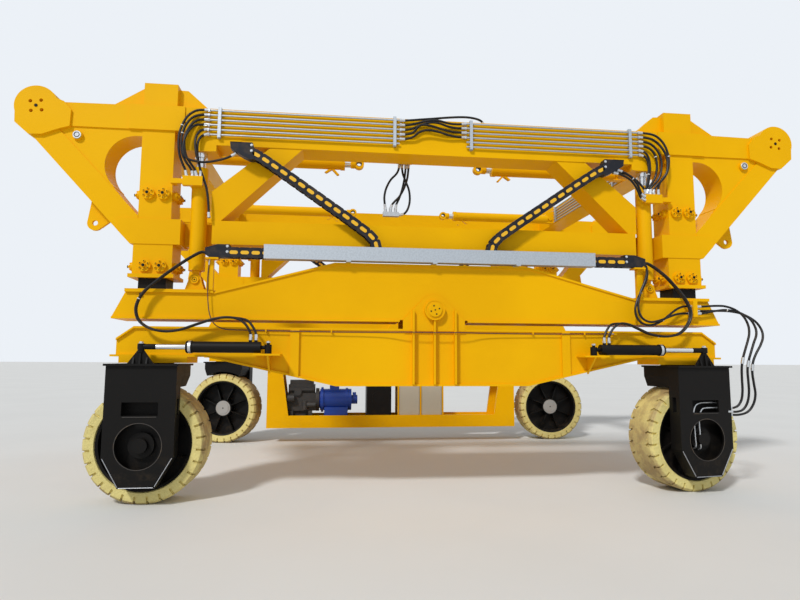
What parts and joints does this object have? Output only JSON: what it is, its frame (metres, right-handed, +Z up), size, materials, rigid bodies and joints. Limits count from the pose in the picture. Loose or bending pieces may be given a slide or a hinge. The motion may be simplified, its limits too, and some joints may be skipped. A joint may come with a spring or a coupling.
{
  "type": "straddle carrier",
  "caption": "Mobile straddle carrier: two side frames on steered wheels, joined by cross beams, with lift columns, hoist cylinders and a slung power pack.",
  "frame": {"origin": "centre of the box that holds the machine, at the ground", "axes": "+X right along the side frames as seen from the near side, +Y across the straddled bay to the far side, +Z up"},
  "size_m": [10.44, 6.0495, 5.2],
  "materials": {
    "yellow_paint": "satin",
    "black_paint": "satin",
    "chrome_rod": "polished",
    "cream_tyre": "matt",
    "galvanised": "matt",
    "chain_plastic": "matt",
    "blue_paint": "gloss",
    "beige_paint": "satin",
    "engine_black": "matt",
    "hose_rubber": "matt"
  },
  "bodies": {
    "far_carrier": {"far_saddle_beam": "yellow_paint", "far_columns": "black_paint", "far_lift_barrels": "yellow_paint", "far_chain_tray": "galvanised", "far_lower_chains": "chain_plastic", "far_axle_beam": "yellow_paint", "far_packers": "black_paint", "far_pivot_pin": "yellow_paint", "far_steer_barrels": "black_paint", "cradle": "yellow_paint", "radiator": "engine_black", "engine": "engine_black", "motor": "blue_paint", "oil_tank": "black_paint", "cabinets": "beige_paint"},
    "frame": {"top_chords": "yellow_paint", "outriggers": "yellow_paint", "column_sleeves": "yellow_paint", "bottom_chords": "yellow_paint", "braces": "yellow_paint", "cross_beams": "yellow_paint", "pipe_runs": "galvanised", "lift_rods": "chrome_rod", "hoist_barrels": "yellow_paint", "near_upper_chains": "chain_plastic", "far_upper_chains": "chain_plastic", "hose_upper_left": "hose_rubber", "hose_upper_right": "hose_rubber", "hose_bay": "hose_rubber", "bay_coupler": "galvanised"},
    "near_saddle": {"near_saddle_beam": "yellow_paint", "near_columns": "black_paint", "near_lift_barrels": "yellow_paint", "near_chain_tray": "galvanised", "near_lower_chains": "chain_plastic", "hose_lower_left": "hose_rubber", "hose_lower_right": "hose_rubber"},
    "near_axle": {"near_axle_beam": "yellow_paint", "near_pivot_pin": "yellow_paint", "near_steer_barrels": "black_paint"},
    "hoist_rod_near_left": {"hoist_rod_near_left": "chrome_rod"},
    "fork_near_left": {"fork_near_left": "black_paint"},
    "wheel_near_left": {"rim_near_left": "black_paint", "tyre_near_left": "cream_tyre"},
    "steer_rod_near_left": {"steer_rod_near_left": "chrome_rod"},
    "hoist_rod_near_right": {"hoist_rod_near_right": "chrome_rod"},
    "fork_near_right": {"fork_near_right": "black_paint"},
    "wheel_near_right": {"rim_near_right": "black_paint", "tyre_near_right": "cream_tyre"},
    "steer_rod_near_right": {"steer_rod_near_right": "chrome_rod"},
    "hoist_rod_far_left": {"hoist_rod_far_left": "chrome_rod"},
    "fork_far_left": {"fork_far_left": "black_paint"},
    "wheel_far_left": {"rim_far_left": "black_paint", "tyre_far_left": "cream_tyre"},
    "steer_rod_far_left": {"steer_rod_far_left": "chrome_rod"},
    "hoist_rod_far_right": {"hoist_rod_far_right": "chrome_rod"},
    "fork_far_right": {"fork_far_right": "black_paint"},
    "wheel_far_right": {"rim_far_right": "black_paint", "tyre_far_right": "cream_tyre"},
    "steer_rod_far_right": {"steer_rod_far_right": "chrome_rod"}
  },
  "joints": [
    {"name": "lift_far", "type": "slide", "parent": "far_carrier", "child": "frame", "axis": [0, 0, 1], "range_m": [0, 1], "deforming": ["far_upper_chains"]},
    {"name": "lift_near", "type": "slide", "parent": "frame", "child": "near_saddle", "axis": [0, 0, -1], "range_m": [0, 1], "deforming": ["near_upper_chains"]},
    {"name": "equaliser", "type": "hinge", "parent": "near_saddle", "child": "near_axle", "pos_m": [0, -2.49, 2.34], "axis": [0, 1, 0], "range_deg": [-1.2, 1.2], "deforming": ["hose_lower_left", "hose_lower_right"]},
    {"name": "hoist_near_left", "type": "slide", "parent": "frame", "child": "hoist_rod_near_left", "axis": [1, 0, 0], "range_m": [0, 0.7]},
    {"name": "steer_near_left", "type": "hinge", "parent": "near_axle", "child": "fork_near_left", "pos_m": [-3.49, -2.49, 1.5], "axis": [0, 0, 1], "range_deg": [-30, 30]},
    {"name": "roll_near_left", "type": "hinge", "parent": "fork_near_left", "child": "wheel_near_left", "pos_m": [-3.49, -2.49, 0.7], "axis": [0, 1, 0], "continuous": true},
    {"name": "rod_near_left", "type": "slide", "parent": "near_axle", "child": "steer_rod_near_left", "axis": [1, 0, 0], "range_m": [-0.218, 0.218]},
    {"name": "hoist_near_right", "type": "slide", "parent": "frame", "child": "hoist_rod_near_right", "axis": [-1, 0, 0], "range_m": [0, 0.7]},
    {"name": "steer_near_right", "type": "hinge", "parent": "near_axle", "child": "fork_near_right", "pos_m": [3.49, -2.49, 1.5], "axis": [0, 0, 1], "range_deg": [-38, 22]},
    {"name": "roll_near_right", "type": "hinge", "parent": "fork_near_right", "child": "wheel_near_right", "pos_m": [3.49, -2.49, 0.7], "axis": [-0.1392, 0.9903, 0], "continuous": true},
    {"name": "rod_near_right", "type": "slide", "parent": "near_axle", "child": "steer_rod_near_right", "axis": [1, 0, 0], "range_m": [-0.276, 0.161]},
    {"name": "hoist_far_left", "type": "slide", "parent": "frame", "child": "hoist_rod_far_left", "axis": [1, 0, 0], "range_m": [0, 0.7]},
    {"name": "steer_far_left", "type": "hinge", "parent": "far_carrier", "child": "fork_far_left", "pos_m": [-3.49, 2.49, 1.5], "axis": [0, 0, 1], "range_deg": [-20, 40]},
    {"name": "roll_far_left", "type": "hinge", "parent": "fork_far_left", "child": "wheel_far_left", "pos_m": [-3.49, 2.49, 0.7], "axis": [0.1736, 0.9848, 0], "continuous": true},
    {"name": "rod_far_left", "type": "slide", "parent": "far_carrier", "child": "steer_rod_far_left", "axis": [1, 0, 0], "range_m": [-0.29, 0.146]},
    {"name": "hoist_far_right", "type": "slide", "parent": "frame", "child": "hoist_rod_far_right", "axis": [-1, 0, 0], "range_m": [0, 0.7]},
    {"name": "steer_far_right", "type": "hinge", "parent": "far_carrier", "child": "fork_far_right", "pos_m": [3.49, 2.49, 1.5], "axis": [0, 0, 1], "range_deg": [-28, 32]},
    {"name": "roll_far_right", "type": "hinge", "parent": "fork_far_right", "child": "wheel_far_right", "pos_m": [3.49, 2.49, 0.7], "axis": [0.0349, 0.9994, 0], "continuous": true},
    {"name": "rod_far_right", "type": "slide", "parent": "far_carrier", "child": "steer_rod_far_right", "axis": [1, 0, 0], "range_m": [-0.233, 0.204]}
  ],
  "couplings": [
    {"joint": "lift_near", "follows": "lift_far", "ratio": 1},
    {"joint": "rod_near_left", "follows": "steer_near_left", "m_per_rad": 0.413},
    {"joint": "rod_near_right", "follows": "steer_near_right", "m_per_rad": 0.413},
    {"joint": "rod_far_left", "follows": "steer_far_left", "m_per_rad": -0.413},
    {"joint": "rod_far_right", "follows": "steer_far_right", "m_per_rad": -0.413}
  ]
}
